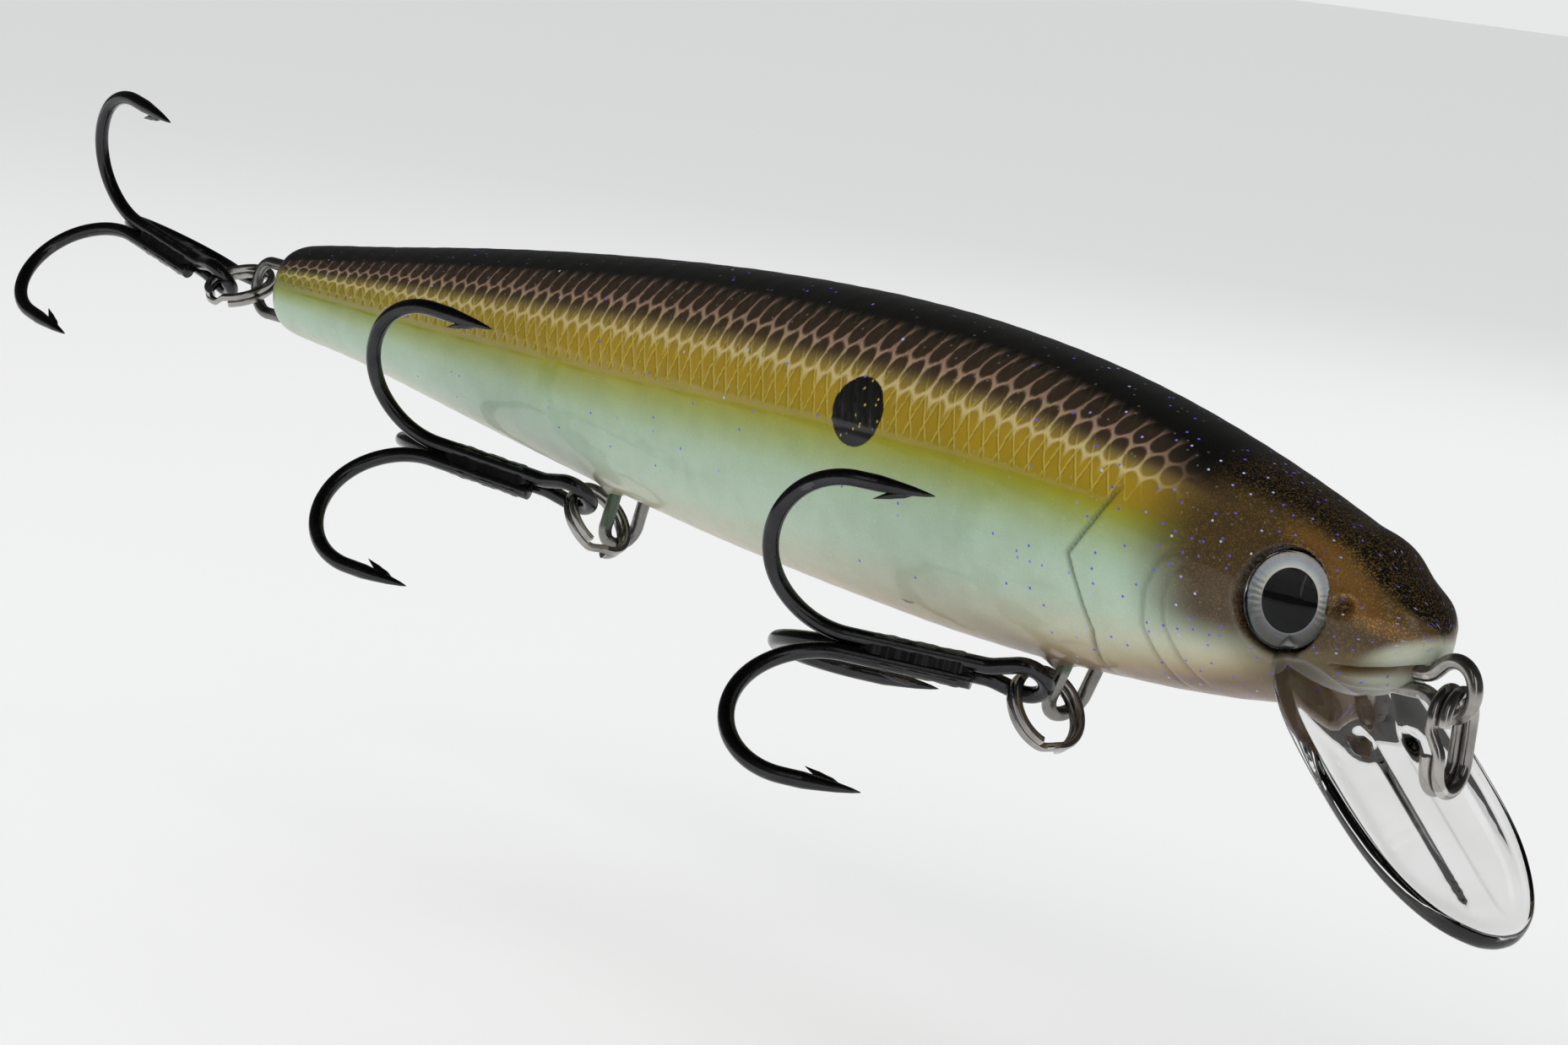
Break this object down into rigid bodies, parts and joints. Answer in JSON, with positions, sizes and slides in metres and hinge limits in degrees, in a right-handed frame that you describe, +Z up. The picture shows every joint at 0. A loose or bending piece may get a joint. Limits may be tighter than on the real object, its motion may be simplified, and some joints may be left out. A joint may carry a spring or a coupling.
{
  "type": "crankbait lure",
  "caption": "Slender minnow-shaped diving lure with a clear spoon-shaped bill, domed eyes, a wire line tie with an oval ring, and treble hooks on split rings under the belly and at the tail.",
  "frame": {"origin": "centre of the line-tie loop in front of the snout, on the parting plane between the two body halves", "axes": "+X forwards along the body towards the nose, +Y towards the lure's left flank, +Z up towards the back"},
  "size_m": [0.1533, 0.0267, 0.0302],
  "materials": {
    "body_coat": "painted under a clear gloss coat",
    "bill_clear": "clear moulded plastic, polished",
    "eye_silver": "pearly silver disc with a black pupil",
    "eye_lens": "clear domed lens",
    "tie_steel": "stainless wire",
    "hanger_steel": "stainless wire, partly painted",
    "ring_nickel": "nickel-plated flattened wire",
    "oval_ring_nickel": "nickel-plated round wire",
    "hook_black_nickel": "black nickel plate",
    "braze": "braze fillet under black nickel",
    "keel_metal": "cast ballast",
    "ball_steel": "polished balls"
  },
  "bodies": {
    "lure_body": {"body_shell_right": "body_coat", "body_shell_left": "body_coat", "diving_bill": "bill_clear", "eye_iris_right": "eye_silver", "eye_iris_left": "eye_silver", "eye_lens_right": "eye_lens", "eye_lens_left": "eye_lens", "line_tie_wire": "tie_steel", "front_belly_hanger": "hanger_steel", "rear_belly_hanger": "hanger_steel", "tail_hanger": "hanger_steel", "keel_weight_front": "keel_metal", "keel_weight_middle": "keel_metal"},
    "line_ring": {"line_oval_ring": "oval_ring_nickel"},
    "casting_weight": {"casting_weight_balls": "ball_steel"},
    "front_ring": {"front_split_ring": "ring_nickel"},
    "front_treble": {"front_double_hook": "hook_black_nickel", "front_single_hook": "hook_black_nickel", "front_hook_braze": "braze"},
    "middle_ring": {"middle_split_ring": "ring_nickel"},
    "middle_treble": {"middle_double_hook": "hook_black_nickel", "middle_single_hook": "hook_black_nickel", "middle_hook_braze": "braze"},
    "tail_ring": {"tail_split_ring": "ring_nickel"},
    "tail_treble": {"tail_double_hook": "hook_black_nickel", "tail_single_hook": "hook_black_nickel", "tail_hook_braze": "braze"}
  },
  "joints": [
    {"name": "line_ring_swing", "type": "hinge", "parent": "lure_body", "child": "line_ring", "pos_m": [0.00018, 0, -0.00005], "axis": [-0.2756, 0.9613, 0], "range_deg": [-120, 3]},
    {"name": "casting_weight_slide", "type": "slide", "parent": "lure_body", "child": "casting_weight", "axis": [1, 0, 0], "range_m": [-0.014, 0]},
    {"name": "front_ring_swing", "type": "hinge", "parent": "lure_body", "child": "front_ring", "pos_m": [-0.0306, 0, -0.00685], "axis": [-0.4799, -0.4279, 0.7659], "range_deg": [-14, 2]},
    {"name": "front_treble_swing", "type": "hinge", "parent": "front_ring", "child": "front_treble", "pos_m": [-0.03097, -0.00373, -0.00604], "axis": [0.3609, -0.7848, -0.5039], "range_deg": [-8, 100]},
    {"name": "middle_ring_swing", "type": "hinge", "parent": "lure_body", "child": "middle_ring", "pos_m": [-0.07684, -0.00005, -0.00525], "axis": [-0.6418, 0.012, 0.7668], "range_deg": [-34, 0]},
    {"name": "middle_treble_swing", "type": "hinge", "parent": "middle_ring", "child": "middle_treble", "pos_m": [-0.07734, -0.00404, -0.00325], "axis": [0.5529, -0.7252, -0.4103], "range_deg": [-8, 90]},
    {"name": "tail_ring_swing", "type": "hinge", "parent": "lure_body", "child": "tail_ring", "pos_m": [-0.1248, 0, 0.00409], "axis": [-0.4529, 0.7799, 0.432], "range_deg": [-80, 80]},
    {"name": "tail_treble_swing", "type": "hinge", "parent": "tail_ring", "child": "tail_treble", "pos_m": [-0.12938, -0.00149, 0.00406], "axis": [0.096, -0.8962, -0.4331], "range_deg": [-65, 95]}
  ]
}
